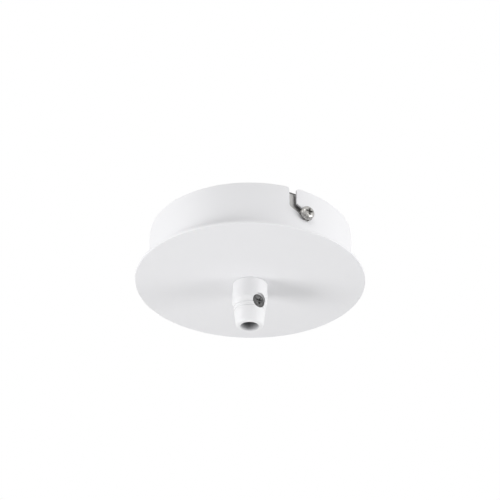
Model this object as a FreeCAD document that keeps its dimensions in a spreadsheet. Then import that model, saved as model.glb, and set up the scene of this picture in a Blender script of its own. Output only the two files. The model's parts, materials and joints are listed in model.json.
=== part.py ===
import FreeCAD, Part
import math
import os

import Sketcher

# Ceiling rose: a round canopy that hangs on a strap by two side screws in J-shaped slots.
# The origin is the centre of the ceiling plane, +Z points up and the visible side screw faces -Y.

# Millimetres and degrees. Every size is written here once, and the rest is worked out from it.
SIZES = {
    # Canopy: a flat face disc under a drawn cup
    "disc_diameter": 100.0,
    "disc_thickness": 1.3,
    "disc_edge_chamfer": 0.3,
    "canopy_height": 23.4,
    "cup_diameter": 89.4,
    "cup_wall": 0.7,
    "cup_corner_radius": 1.6,
    # J-shaped slot in the cup's wall
    "slot_width": 3.3,
    "slot_depth": 11.9,
    "slot_drop": 3.5,
    "slot_turn": 7.2,
    "slot_lead_radius": 1.2,
    "slot_lip_radius": 1.0,
    # Strap against the ceiling
    "strap_width": 15.0,
    "strap_thickness": 1.5,
    "ear_gap": 1.0,
    "ear_length": 16.6,
    "ear_corner_radius": 3.0,
    "bend_radius": 3.3,
    "inner_bend_radius": 1.8,
    "collar_diameter": 5.0,
    "collar_depth": 1.3,
    "fixing_spacing": 56.0,
    "fixing_slot_width": 5.0,
    "fixing_slot_length": 12.0,
    # Side screws and their toothed washers
    "side_screw_diameter": 3.0,
    "side_screw_length": 8.0,
    "side_head_diameter": 5.9,
    "side_head_height": 2.4,
    "side_washer_diameter": 6.3,
    "side_washer_thickness": 0.9,
    # Cord grip
    "grip_diameter": 15.1,
    "grip_length": 20.3,
    "grip_straight": 9.1,
    "grip_step": 0.45,
    "grip_step_height": 1.4,
    "grip_taper": 7.85,
    "grip_tip_radius": 1.3,
    "grip_top_chamfer": 0.4,
    "cord_bore_diameter": 7.4,
    "cord_lip_chamfer": 0.5,
    "seam_top": 11.25,
    "seam_spacing": 1.75,
    "seam_width": 0.45,
    "seam_depth": 0.35,
    # Clamp screw across the grip, with a pad on its tip
    "clamp_azimuth": 6.5,
    "clamp_height": 10.45,
    "clamp_screw_diameter": 6.0,
    "clamp_screw_sink": 0.9,
    "clamp_mouth_diameter": 6.6,
    "clamp_mouth_depth": 1.25,
    "clamp_pad_diameter": 5.2,
    "clamp_pad_thickness": 0.7,
    "clamp_pad_recess": 0.1,
    # Threaded tube, nut and washer that clamp grip, disc and cup together
    "tube_diameter": 10.0,
    "tube_wall": 1.0,
    "tube_depth_in_grip": 6.3,
    "tube_stand_out": 0.9,
    "tube_socket_margin": 0.3,
    "nut_across_flats": 14.0,
    "nut_thickness": 2.5,
    "nut_washer_diameter": 16.0,
    "nut_washer_thickness": 0.7,
    # Three-pole terminal block under the strap
    "pole_pitch": 10.0,
    "pole_width": 7.6,
    "block_width": 17.0,
    "block_height": 11.5,
    "spine_inset": 0.5,
    "spine_width": 6.8,
    "spine_height": 7.5,
    "tower_diameter": 5.6,
    "tower_offset": 4.6,
    "tower_shaft_diameter": 4.0,
    "terminal_depth": 4.4,
    "terminal_diameter": 5.2,
    "terminal_bore_diameter": 3.5,
    "terminal_length": 15.0,
    "terminal_screw_diameter": 2.6,
    "terminal_screw_length": 2.9,
    "terminal_head_diameter": 3.7,
    "terminal_head_height": 1.8,
    "fixing_screw_diameter": 3.0,
    "fixing_head_diameter": 5.5,
    "fixing_head_height": 1.9,
    "fixing_screw_end": 0.3,
    # Earth screw on the strap and earth stud in the cup
    "earth_screw_diameter": 3.5,
    "earth_screw_place": 18.0,
    "earth_head_diameter": 6.4,
    "earth_head_height": 2.2,
    "earth_washer_diameter": 7.4,
    "earth_washer_thickness": 0.8,
    "stud_place": 18.0,
    "stud_diameter": 4.0,
    "stud_length": 9.0,
    "stud_flange_diameter": 7.4,
    "stud_flange_thickness": 0.8,
    "stud_washer_diameter": 9.0,
    "stud_nut_across_flats": 7.0,
    "stud_nut_thickness": 3.2,
    # Clearances, each between two pieces, measured across one side
    "thread_clearance": 0.05,
    "hole_clearance": 0.15,
    "press_clearance": 0.03,
    "washer_clearance": 0.1,
    "thread_chamfer": 0.35,
    "recess_arm_width": 0.9,
}

SHEET = "Sizes"
TOOTH_COUNT = 10
CUP_CORNER_BAND_COUNT = 3
TIP_BAND_COUNT = 4
HEAD_BAND_COUNT = 4
POLES = {"front": -1, "middle": 0, "back": 1}
TERMINAL_SIDES = {"lamp": -1, "supply": 1}
SIDES = {"front": 0.0, "back": 180.0}
OVERCUT = 1.0

# Shares of a piece's own size, for details too small to have sizes of their own
NUT_CAP_SHARE = 0.6
TOOTH_NOTCH_SHARE = 0.5
BARREL_FLAT_SHARE = 0.6
PAD_CHAMFER_SHARE = 0.3
PAN_ROUNDING_SHARE = 0.6
EARTH_HEAD_ROUNDING_SHARE = 0.4
RECESS_REACH_SHARE = 0.57
RECESS_DEPTH_SHARE = 0.6
DRIVER_SLOT_WIDTH_SHARE = 0.2
DRIVER_SLOT_DEPTH_SHARE = 0.5


class Size:
    """A length or an angle that knows its number and the sheet formula it comes from."""

    def __init__(self, number, formula):
        self.number = number
        self.formula = formula

    @staticmethod
    def of(value):
        return value if isinstance(value, Size) else Size(float(value), repr(float(value)))

    def join(self, other, sign, number):
        return Size(number, f"({self.formula} {sign} {other.formula})")

    def __add__(self, other):
        other = Size.of(other)
        return self.join(other, "+", self.number + other.number)

    def __sub__(self, other):
        other = Size.of(other)
        return self.join(other, "-", self.number - other.number)

    def __mul__(self, other):
        other = Size.of(other)
        return self.join(other, "*", self.number * other.number)

    def __truediv__(self, other):
        other = Size.of(other)
        return self.join(other, "/", self.number / other.number)

    def __radd__(self, other):
        return Size.of(other) + self

    def __rsub__(self, other):
        return Size.of(other) - self

    def __rmul__(self, other):
        return Size.of(other) * self

    def __neg__(self):
        return Size(-self.number, f"(0 - {self.formula})")


def sine(angle):
    return Size(math.sin(math.radians(angle.number)), f"sin({angle.formula})")


def cosine(angle):
    return Size(math.cos(math.radians(angle.number)), f"cos({angle.formula})")


def round_corner(centre_x, centre_y, radius, first_angle, last_angle, bands):
    """Corners along a round stretch, turned as that many straight bands."""
    turns = [first_angle + (last_angle - first_angle) * band / bands for band in range(bands + 1)]
    return [(centre_x + radius * cosine(Size.of(turn)), centre_y + radius * sine(Size.of(turn)))
            for turn in turns]


class SizeSheet:
    """The spreadsheet of sizes, read as attributes."""

    def __init__(self, document, sizes):
        self.names = sizes
        sheet = document.addObject("Spreadsheet::Sheet", SHEET)
        for row, (name, number) in enumerate(sizes.items(), start=1):
            sheet.set(f"A{row}", name)
            sheet.set(f"B{row}", str(number))
            sheet.setAlias(f"B{row}", name)
        document.recompute()

    def __getattr__(self, name):
        return Size(self.names[name], f"{SHEET}.{name}")


doc = FreeCAD.newDocument("CeilingRose")
s = SizeSheet(doc, SIZES)

# Heights and radii that several pieces share
face_z = -s.canopy_height
disc_top_z = face_z + s.disc_thickness
floor_z = disc_top_z + s.cup_wall
cup_radius = s.cup_diameter / 2
cup_inner_radius = cup_radius - s.cup_wall
cup_middle_radius = cup_radius - s.cup_wall / 2
ear_reach = cup_inner_radius - s.ear_gap
tube_hole_radius = s.tube_diameter / 2 + s.thread_clearance
strap_under_z = -s.strap_thickness
washer_top_z = floor_z + s.nut_washer_thickness
terminal_z = strap_under_z - s.terminal_depth
block_bottom_z = strap_under_z - s.block_height


def bind(thing, path, value):
    """Makes a property follow the sheet."""
    thing.setExpression(path, Size.of(value).formula)


def place(thing, x=0, y=0, z=0, rotation=None):
    """Sets where a piece stands and which way it faces."""
    if rotation is not None:
        thing.Placement = FreeCAD.Placement(FreeCAD.Vector(), rotation)
    for axis, value in (("x", x), ("y", y), ("z", z)):
        bind(thing, f"Placement.Base.{axis}", value)


def facing_out(azimuth):
    """Turns a piece's own +Z outward, at an azimuth counted from -Y towards +X."""
    return FreeCAD.Rotation(azimuth, 0, 90)


def facing_down():
    """Turns a piece's own +Z downward."""
    return FreeCAD.Rotation(0, 0, 180)


class Drawing:
    """A sketch on one of a body's own planes, with every point held by bound dimensions."""

    def __init__(self, body, name, plane, height=0):
        self.sketch = body.newObject("Sketcher::SketchObject", name)
        planes = {feature.Role: feature for feature in body.Origin.OriginFeatures}
        self.sketch.AttachmentSupport = [(planes[plane], "")]
        self.sketch.MapMode = "FlatFace"
        bind(self.sketch, "AttachmentOffset.Base.z", height)

    def dimension(self, value, kind, *points):
        constraint = Sketcher.Constraint(kind, *points, Size.of(value).number)
        index = self.sketch.addConstraint(constraint)
        bind(self.sketch, f"Constraints[{index}]", value)

    def hold(self, geometry, point, x, y):
        """Holds one point of a curve at x, y from the sketch's origin."""
        self.dimension(x, "DistanceX", -1, 1, geometry, point)
        self.dimension(y, "DistanceY", -1, 1, geometry, point)

    def outline(self, corners):
        """Straight lines from corner to corner, closed."""
        spots = [vector(x, y) for x, y in corners]
        lines = [self.sketch.addGeometry(Part.LineSegment(start, end))
                 for start, end in zip(spots, spots[1:] + spots[:1])]
        for line, following in zip(lines, lines[1:] + lines[:1]):
            self.sketch.addConstraint(Sketcher.Constraint("Coincident", line, 2, following, 1))
        for line, (x, y) in zip(lines, corners):
            self.hold(line, 1, x, y)
        return self

    def rectangle(self, left, bottom, right, top):
        return self.outline([(left, bottom), (right, bottom), (right, top), (left, top)])

    def circle(self, radius, x=0, y=0):
        curve = Part.Circle(vector(x, y), FreeCAD.Vector(0, 0, 1), Size.of(radius).number)
        index = self.sketch.addGeometry(curve)
        self.hold(index, 3, x, y)
        self.dimension(radius, "Radius", index)
        return self

    def round_ended_slot(self, start, end, radius):
        """Two lines and two half circles around the straight path from start to end."""
        first, last = vector(*start), vector(*end)
        width = Size.of(radius).number
        heading = math.atan2(last.y - first.y, last.x - first.x)
        quarter = math.pi / 2
        side = FreeCAD.Vector(math.cos(heading + quarter), math.sin(heading + quarter), 0) * width
        up = FreeCAD.Vector(0, 0, 1)
        far_circle, near_circle = Part.Circle(last, up, width), Part.Circle(first, up, width)
        add = self.sketch.addGeometry
        left = add(Part.LineSegment(first + side, last + side))
        right = add(Part.LineSegment(last - side, first - side))
        far = add(Part.ArcOfCircle(far_circle, heading - quarter, heading + quarter))
        near = add(Part.ArcOfCircle(near_circle, heading + quarter, heading + 3 * quarter))
        for joint in ((left, 2, far, 2), (far, 1, right, 1), (right, 2, near, 2), (near, 1, left, 1)):
            self.sketch.addConstraint(Sketcher.Constraint("Tangent", *joint))
        self.hold(far, 3, *end)
        self.hold(near, 3, *start)
        self.dimension(radius, "Radius", far)
        return self


def vector(x, y, z=0):
    return FreeCAD.Vector(Size.of(x).number, Size.of(y).number, Size.of(z).number)


class Piece:
    """One sub-part: a body with its features, named by what they make."""

    def __init__(self, label):
        self.label = label
        self.body = doc.addObject("PartDesign::Body", label)
        self.body.Label = label
        self.count = 0

    def name(self, what):
        self.count += 1
        return f"{self.label}_{what}_{self.count}"

    def draw(self, plane, height=0):
        return Drawing(self.body, self.name("sketch"), plane, height)

    def feature(self, kind, drawing):
        made = self.body.newObject(f"PartDesign::{kind}", self.name(kind.lower()))
        made.Profile = drawing.sketch
        return made

    def revolve(self, corners):
        """Turns an outline of radius and height about the piece's own axis."""
        drawing = self.draw("XZ_Plane").outline(corners)
        turned = self.feature("Revolution", drawing)
        turned.ReferenceAxis = (drawing.sketch, ["V_Axis"])
        turned.Angle = 360
        doc.recompute()
        return turned

    def pad(self, drawing, length, symmetric=False, backwards=False):
        padded = self.feature("Pad", drawing)
        padded.SideType = "Symmetric" if symmetric else "One side"
        padded.Reversed = backwards
        bind(padded, "Length", length)
        doc.recompute()
        return padded

    def pocket(self, drawing, length, symmetric=False, backwards=False):
        """Cuts against the sketch's normal, or along it when backwards, and makes sure that it cut."""
        before = self.body.Shape.Volume
        cut = self.feature("Pocket", drawing)
        cut.SideType = "Symmetric" if symmetric else "One side"
        cut.Reversed = backwards
        bind(cut, "Length", length)
        doc.recompute()
        if not self.body.Shape.Volume < before:
            raise ValueError(f"{cut.Name} cuts nothing")
        return cut

    def repeat(self, features, count):
        """Repeats features round the piece's own Z axis."""
        axis = next(o for o in self.body.Origin.OriginFeatures if o.Role == "Z_Axis")
        pattern = self.body.newObject("PartDesign::PolarPattern", self.name("pattern"))
        pattern.Originals = features
        pattern.Axis = (axis, [""])
        pattern.Angle = 360
        pattern.Occurrences = count
        self.body.Tip = pattern
        doc.recompute()
        return pattern

    def repeat_along(self, features, role, pitch, count):
        """Repeats features along one of the piece's own axes."""
        axis = next(o for o in self.body.Origin.OriginFeatures if o.Role == role)
        pattern = self.body.newObject("PartDesign::LinearPattern", self.name("pattern"))
        pattern.Originals = features
        pattern.Direction = (axis, [""])
        bind(pattern, "Length", pitch * (count - 1))
        pattern.Occurrences = count
        self.body.Tip = pattern
        doc.recompute()
        return pattern

    def round_off(self, radius, chosen, kind="Fillet"):
        """Fillets or chamfers the edges that the test chooses."""
        base = self.body.Tip
        names = [f"Edge{number}" for number, edge in enumerate(base.Shape.Edges, start=1)
                 if chosen(edge)]
        if not names:
            raise ValueError(f"no edge to round on {self.label}")
        rounded = self.body.newObject(f"PartDesign::{kind}", self.name(kind.lower()))
        rounded.Base = (base, names)
        bind(rounded, "Radius" if kind == "Fillet" else "Size", radius)
        doc.recompute()
        return rounded


def near(value, target):
    return abs(value - Size.of(target).number) < 1e-4


def ring_edge(radius, height):
    """Chooses the round edges of one radius at one height."""
    def chosen(edge):
        box = edge.BoundBox
        round_edge = isinstance(edge.Curve, Part.Circle)
        return round_edge and near(edge.Curve.Radius, radius) and near(box.ZMin, height) \
            and near(box.ZMax, height)
    return chosen


def straight_edge(along, **places):
    """Chooses the straight edges along one axis whose middle lies at the given places."""
    def chosen(edge):
        if not isinstance(edge.Curve, Part.Line):
            return False
        step = edge.Vertexes[-1].Point - edge.Vertexes[0].Point
        straight = near(abs(getattr(step.normalize(), along)), 1)
        middle = edge.BoundBox.Center
        return straight and all(near(abs(getattr(middle, axis)), spot) for axis, spot in places.items())
    return chosen


def cross_recess(piece, head_diameter, head_height):
    """Cuts a four-armed driver recess into the top of a screw."""
    arm = s.recess_arm_width / 2
    reach = head_diameter / 2 * RECESS_REACH_SHARE
    corners = [(arm, arm), (arm, reach), (-arm, reach), (-arm, arm), (-reach, arm), (-reach, -arm),
               (-arm, -arm), (-arm, -reach), (arm, -reach), (arm, -arm), (reach, -arm), (reach, arm)]
    piece.pocket(piece.draw("XY_Plane", head_height).outline(corners), head_height * RECESS_DEPTH_SHARE)


def slot_recess(piece, head_diameter, head_height):
    """Cuts a straight driver slot right across the top of a screw."""
    reach = head_diameter / 2 + OVERCUT
    half = head_diameter * DRIVER_SLOT_WIDTH_SHARE / 2
    drawing = piece.draw("XY_Plane", head_height).rectangle(-reach, -half, reach, half)
    piece.pocket(drawing, head_height * DRIVER_SLOT_DEPTH_SHARE)


def screw(label, diameter, length, head_diameter, head_height, rounding=0):
    """A screw with its head's underside at its own z = 0 and its head upward."""
    piece = Piece(label)
    radius = diameter / 2
    head_radius = head_diameter / 2
    chamfer = s.thread_chamfer
    rim = [(head_radius, head_height)]
    if rounding:
        rim = round_corner(head_radius - rounding, head_height - rounding, rounding, 0, 90, HEAD_BAND_COUNT)
    piece.revolve([(0, -length), (radius - chamfer, -length), (radius, -length + chamfer),
                   (radius, 0), (head_radius, 0)] + rim + [(0, head_height)])
    return piece


def hexagon_nut(label, across_flats, thickness, hole_radius):
    """A hexagon nut that stands on its own z = 0, with its corners turned off on top."""
    piece = Piece(label)
    corner_radius = across_flats / math.sqrt(3)
    corners = [(corner_radius * math.cos(math.radians(60 * turn)),
                corner_radius * math.sin(math.radians(60 * turn))) for turn in range(6)]
    drawing = piece.draw("XY_Plane").outline(corners).circle(hole_radius)
    piece.pad(drawing, thickness)
    flat_radius = across_flats / 2
    cap = (corner_radius - flat_radius) * NUT_CAP_SHARE
    outline = [(flat_radius, thickness), (corner_radius + OVERCUT, thickness),
               (corner_radius + OVERCUT, thickness - cap), (corner_radius, thickness - cap)]
    cutter = piece.draw("XZ_Plane").outline(outline)
    turned_off = piece.feature("Groove", cutter)
    turned_off.ReferenceAxis = (cutter.sketch, ["V_Axis"])
    turned_off.Angle = 360
    doc.recompute()
    return piece


def toothed_washer(label, diameter, hole_radius, thickness, tooth_depth):
    """A lock washer with notches between its outer teeth, standing on its own z = 0."""
    piece = Piece(label)
    radius = diameter / 2
    piece.pad(piece.draw("XY_Plane").circle(radius).circle(hole_radius), thickness)
    half_notch = radius * math.sin(math.radians(90 / TOOTH_COUNT))
    root = radius - tooth_depth
    root_half = half_notch * TOOTH_NOTCH_SHARE
    notch = [(root, -root_half), (radius + OVERCUT, -half_notch),
             (radius + OVERCUT, half_notch), (root, root_half)]
    cut = piece.pocket(piece.draw("XY_Plane", thickness).outline(notch), thickness)
    piece.repeat([cut], TOOTH_COUNT)
    return piece


def plain_washer(label, diameter, hole_radius, thickness):
    piece = Piece(label)
    piece.pad(piece.draw("XY_Plane").circle(diameter / 2).circle(hole_radius), thickness)
    return piece


def make_face_disc():
    """The flat disc that shows from below."""
    disc = Piece("face_disc")
    radius = s.disc_diameter / 2
    disc.pad(disc.draw("XY_Plane", face_z).circle(radius).circle(tube_hole_radius), s.disc_thickness)
    edges = [ring_edge(radius, face_z), ring_edge(radius, disc_top_z)]
    disc.round_off(s.disc_edge_chamfer, lambda edge: any(chosen(edge) for chosen in edges),
                   kind="Chamfer")


def make_canopy_cup():
    """The drawn cup on the disc, open to the ceiling, with two J-shaped slots in its wall."""
    cup = Piece("canopy_cup")
    bend = (cup_radius - s.cup_corner_radius, disc_top_z + s.cup_corner_radius)
    outer_bend = round_corner(*bend, s.cup_corner_radius, -90, 0, CUP_CORNER_BAND_COUNT)
    inner_bend = round_corner(*bend, s.cup_corner_radius - s.cup_wall, 0, -90, CUP_CORNER_BAND_COUNT)
    cup.revolve([(tube_hole_radius, disc_top_z)] + outer_bend + [(cup_radius, 0), (cup_inner_radius, 0)]
                + inner_bend + [(tube_hole_radius, floor_z)])
    half = s.slot_width / 2
    entry_x = -cup_middle_radius * sine(s.slot_turn)
    turn_z = s.slot_drop - s.slot_depth
    outside = cup_radius + OVERCUT
    through = s.cup_wall + s.slot_width + OVERCUT
    rest_leg = cup.draw("XZ_Plane", outside).round_ended_slot((entry_x, turn_z), (0, -s.slot_depth), half)
    rest_cut = cup.pocket(rest_leg, through)
    entry_leg = cup.draw("XZ_Plane", outside).rectangle(entry_x - half, turn_z, entry_x + half, OVERCUT)
    entry_cut = cup.pocket(entry_leg, through)
    cup.repeat([rest_cut, entry_cut], len(SIDES))
    for radius, side in ((s.slot_lead_radius, -half), (s.slot_lip_radius, half)):
        cup.round_off(radius, straight_edge("y", x=-(entry_x + side), z=0))


def make_ceiling_bracket():
    """A strap with its two ends bent down into tapped ears."""
    strap = Piece("ceiling_bracket")
    reach, drop, thick = ear_reach, -s.ear_length, s.strap_thickness
    inner = reach - thick
    profile = strap.draw("YZ_Plane").outline([
        (-reach, drop), (-reach, 0), (reach, 0), (reach, drop),
        (inner, drop), (inner, -thick), (-inner, -thick), (-inner, drop)])
    strap.pad(profile, s.strap_width, symmetric=True)
    strap.round_off(s.bend_radius, straight_edge("x", y=reach, z=0))
    strap.round_off(s.inner_bend_radius, straight_edge("x", y=inner, z=thick))
    strap.round_off(s.ear_corner_radius, straight_edge("y", x=s.strap_width / 2, z=s.ear_length))
    collar = strap.pad(strap.draw("XZ_Plane", inner).circle(s.collar_diameter / 2, 0, -s.slot_depth),
                       s.collar_depth, backwards=True)
    tap_radius = s.side_screw_diameter / 2 + s.thread_clearance
    tap = strap.pocket(strap.draw("XZ_Plane", reach + OVERCUT).circle(tap_radius, 0, -s.slot_depth),
                       thick + s.collar_depth + 2 * OVERCUT)
    strap.repeat([collar, tap], len(SIDES))
    for side in (-1, 1):
        middle = s.fixing_spacing / 2 * side
        radius = s.fixing_slot_width / 2
        run = s.fixing_slot_length / 2 - radius
        slot = strap.draw("XY_Plane").round_ended_slot((0, middle - run), (0, middle + run), radius)
        strap.pocket(slot, thick)
    holes = strap.draw("XY_Plane")
    for side in (-1, 1):
        holes.circle(s.fixing_screw_diameter / 2 + s.thread_clearance, 0, s.pole_pitch / 2 * side)
    holes.circle(s.earth_screw_diameter / 2 + s.thread_clearance, 0, -s.earth_screw_place)
    strap.pocket(holes, thick)


def make_side_fixings():
    """On each side, a pan-head screw with a toothed washer against the cup's wall."""
    seat = cup_radius + s.washer_clearance
    for side, azimuth in SIDES.items():
        outward = -1 if side == "front" else 1
        washer = toothed_washer(f"side_washer_{side}", s.side_washer_diameter,
                                s.side_screw_diameter / 2 + s.hole_clearance,
                                s.side_washer_thickness, s.side_washer_thickness)
        place(washer.body, y=seat * outward, z=-s.slot_depth, rotation=facing_out(azimuth))
        pan = screw(f"side_screw_{side}", s.side_screw_diameter, s.side_screw_length,
                    s.side_head_diameter, s.side_head_height,
                    rounding=s.side_head_height * PAN_ROUNDING_SHARE)
        cross_recess(pan, s.side_head_diameter, s.side_head_height)
        place(pan.body, y=(seat + s.side_washer_thickness) * outward, z=-s.slot_depth,
              rotation=facing_out(azimuth))


def grip_outline():
    """Radius and height of the grip's outside, from its top down to its tip."""
    radius = s.grip_diameter / 2
    nose_radius = radius - s.grip_step
    nose_top = s.grip_straight + s.grip_step_height
    taper = sine(s.grip_taper) / cosine(s.grip_taper)

    def nose(depth):
        return nose_radius - taper * (depth - nose_top)

    corners = [(radius, 0), (radius, -s.grip_straight), (nose_radius, -nose_top)]
    for middle in (s.seam_top, s.seam_top + s.seam_spacing):
        upper = middle - s.seam_width / 2
        lower = middle + s.seam_width / 2
        corners += [(nose(upper), -upper), (nose(middle) - s.seam_depth, -middle), (nose(lower), -lower)]
    rounding = s.grip_tip_radius
    tip_centre = nose(s.grip_length) - rounding * (1 - sine(s.grip_taper)) / cosine(s.grip_taper)
    return corners + round_corner(tip_centre, -s.grip_length + rounding, rounding,
                                  -s.grip_taper, -90, TIP_BAND_COUNT)


def make_cord_grip():
    """The turned grip under the disc: socket for the tube on top, cord bore below, clamp hole across."""
    grip = Piece("cord_grip_body")
    bore_radius = s.cord_bore_diameter / 2
    socket = s.tube_depth_in_grip + s.tube_socket_margin
    inside = [(bore_radius, -s.grip_length), (bore_radius, -socket),
              (tube_hole_radius, -socket), (tube_hole_radius, 0)]
    grip.revolve(grip_outline() + inside)
    grip.round_off(s.grip_top_chamfer, ring_edge(s.grip_diameter / 2, 0), kind="Chamfer")
    grip.round_off(s.cord_lip_chamfer, ring_edge(bore_radius, -s.grip_length), kind="Chamfer")
    tapped = grip.draw("XZ_Plane").circle(s.clamp_screw_diameter / 2 + s.thread_clearance,
                                          0, -s.clamp_height)
    grip.pocket(tapped, s.grip_diameter / 2 + OVERCUT, backwards=True)
    mouth_reach = s.grip_diameter / 2 - s.clamp_mouth_depth
    mouth = grip.draw("XZ_Plane", mouth_reach).circle(s.clamp_mouth_diameter / 2, 0, -s.clamp_height)
    grip.pocket(mouth, s.grip_diameter / 2, backwards=True)
    place(grip.body, z=face_z, rotation=FreeCAD.Rotation(s.clamp_azimuth.number, 0, 0))


def make_clamp():
    """The grub screw across the grip and the pad that it pushes against the cord."""
    azimuth = s.clamp_azimuth
    pad_reach = s.cord_bore_diameter / 2 + s.clamp_pad_recess
    screw_reach = pad_reach + s.clamp_pad_thickness
    pad = Piece("clamp_pad")
    pad_radius = s.clamp_pad_diameter / 2
    pad.revolve([(0, 0), (pad_radius, 0), (pad_radius, s.clamp_pad_thickness), (0, s.clamp_pad_thickness)])
    pad.round_off(s.clamp_pad_thickness * PAD_CHAMFER_SHARE, ring_edge(pad_radius, 0), kind="Chamfer")
    grub = Piece("clamp_screw")
    radius = s.clamp_screw_diameter / 2
    length = s.grip_diameter / 2 - s.clamp_screw_sink - screw_reach
    grub.revolve([(0, 0), (radius, 0), (radius, length), (0, length)])
    grub.round_off(s.thread_chamfer, ring_edge(radius, length), kind="Chamfer")
    cross_recess(grub, s.clamp_screw_diameter, length)
    for piece, reach in ((pad, pad_reach), (grub, screw_reach)):
        place(piece.body, x=reach * sine(azimuth), y=-reach * cosine(azimuth),
              z=face_z - s.clamp_height, rotation=facing_out(azimuth.number))


def make_tube_and_nut():
    """The threaded tube, with the washer and nut that clamp cup, disc and grip together."""
    tube = Piece("threaded_tube")
    radius, chamfer = s.tube_diameter / 2, s.thread_chamfer
    bore = radius - s.tube_wall
    low = face_z - s.tube_depth_in_grip
    high = washer_top_z + s.nut_thickness + s.tube_stand_out
    tube.revolve([(bore, low), (radius - chamfer, low), (radius, low + chamfer),
                  (radius, high - chamfer), (radius - chamfer, high), (bore, high)])
    washer = toothed_washer("tube_washer", s.nut_washer_diameter, tube_hole_radius,
                            s.nut_washer_thickness, s.nut_washer_thickness * 2)
    place(washer.body, z=floor_z)
    nut = hexagon_nut("tube_nut", s.nut_across_flats, s.nut_thickness, tube_hole_radius)
    place(nut.body, z=washer_top_z)


def make_terminal_housing():
    """The moulded block: a barrel for each pole, screw towers below and a spine that joins them."""
    block = Piece("terminal_housing")
    half_pole = s.pole_width / 2
    tube_radius = s.terminal_diameter / 2 + s.press_clearance
    first_pole = -s.pole_pitch
    spine_end = s.pole_pitch + half_pole - s.spine_inset
    spine = block.draw("XY_Plane", strap_under_z).rectangle(
        -s.spine_width / 2, -spine_end, s.spine_width / 2, spine_end)
    block.pad(spine, s.spine_height, backwards=True)
    barrel_low = terminal_z - half_pole
    flat_half = half_pole * BARREL_FLAT_SHARE
    barrel = block.draw("YZ_Plane").outline([
        (first_pole - half_pole, strap_under_z), (first_pole - half_pole, terminal_z),
        (first_pole - flat_half, barrel_low), (first_pole + flat_half, barrel_low),
        (first_pole + half_pole, terminal_z), (first_pole + half_pole, strap_under_z)])
    barrels = [block.pad(barrel, s.block_width, symmetric=True)]
    towers = block.draw("XY_Plane", terminal_z)
    shafts = block.draw("XY_Plane", block_bottom_z)
    for side in TERMINAL_SIDES.values():
        towers.circle(s.tower_diameter / 2, s.tower_offset * side, first_pole)
        shafts.circle(s.tower_shaft_diameter / 2, s.tower_offset * side, first_pole)
    barrels.append(block.pad(towers, terminal_z - block_bottom_z, backwards=True))
    block.repeat_along(barrels, "Y_Axis", s.pole_pitch, len(POLES))
    socket = block.draw("YZ_Plane").circle(tube_radius, first_pole, terminal_z)
    cuts = [block.pocket(socket, s.block_width + OVERCUT, symmetric=True),
            block.pocket(shafts, terminal_z - block_bottom_z, backwards=True)]
    block.repeat_along(cuts, "Y_Axis", s.pole_pitch, len(POLES))
    head_z = strap_under_z - s.spine_height
    for side in (-1, 1):
        place_y = s.pole_pitch / 2 * side
        hole = block.draw("XY_Plane", strap_under_z).circle(
            s.fixing_screw_diameter / 2 + s.hole_clearance, 0, place_y)
        block.pocket(hole, s.block_height)
        seat = block.draw("XY_Plane", head_z).circle(
            s.fixing_head_diameter / 2 + s.hole_clearance, 0, place_y)
        block.pocket(seat, s.block_height)


def make_terminals():
    """For each pole a tube, with one screw for the supply's wire and one for the lamp's."""
    half_bore = s.terminal_bore_diameter / 2
    for pole, step in POLES.items():
        pole_y = s.pole_pitch * step
        tube = Piece(f"terminal_tube_{pole}")
        ring = tube.draw("YZ_Plane").circle(s.terminal_diameter / 2).circle(half_bore)
        tube.pad(ring, s.terminal_length, symmetric=True)
        taps = tube.draw("XY_Plane")
        for side in TERMINAL_SIDES.values():
            taps.circle(s.terminal_screw_diameter / 2 + s.thread_clearance, s.tower_offset * side, 0)
        tube.pocket(taps, s.terminal_diameter)
        place(tube.body, y=pole_y, z=terminal_z)
        head_z = terminal_z - half_bore - s.thread_clearance - s.terminal_screw_length
        for name, side in TERMINAL_SIDES.items():
            small = screw(f"terminal_screw_{pole}_{name}", s.terminal_screw_diameter,
                          s.terminal_screw_length, s.terminal_head_diameter, s.terminal_head_height)
            slot_recess(small, s.terminal_head_diameter, s.terminal_head_height)
            place(small.body, x=s.tower_offset * side, y=pole_y, z=head_z, rotation=facing_down())


def make_block_fixings():
    """The two screws that hold the block up against the strap."""
    head_z = strap_under_z - s.spine_height
    length = -head_z - s.fixing_screw_end
    for name, side in (("front", -1), ("back", 1)):
        fixing = screw(f"block_screw_{name}", s.fixing_screw_diameter, length,
                       s.fixing_head_diameter, s.fixing_head_height)
        slot_recess(fixing, s.fixing_head_diameter, s.fixing_head_height)
        place(fixing.body, y=s.pole_pitch / 2 * side, z=head_z, rotation=facing_down())


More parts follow.
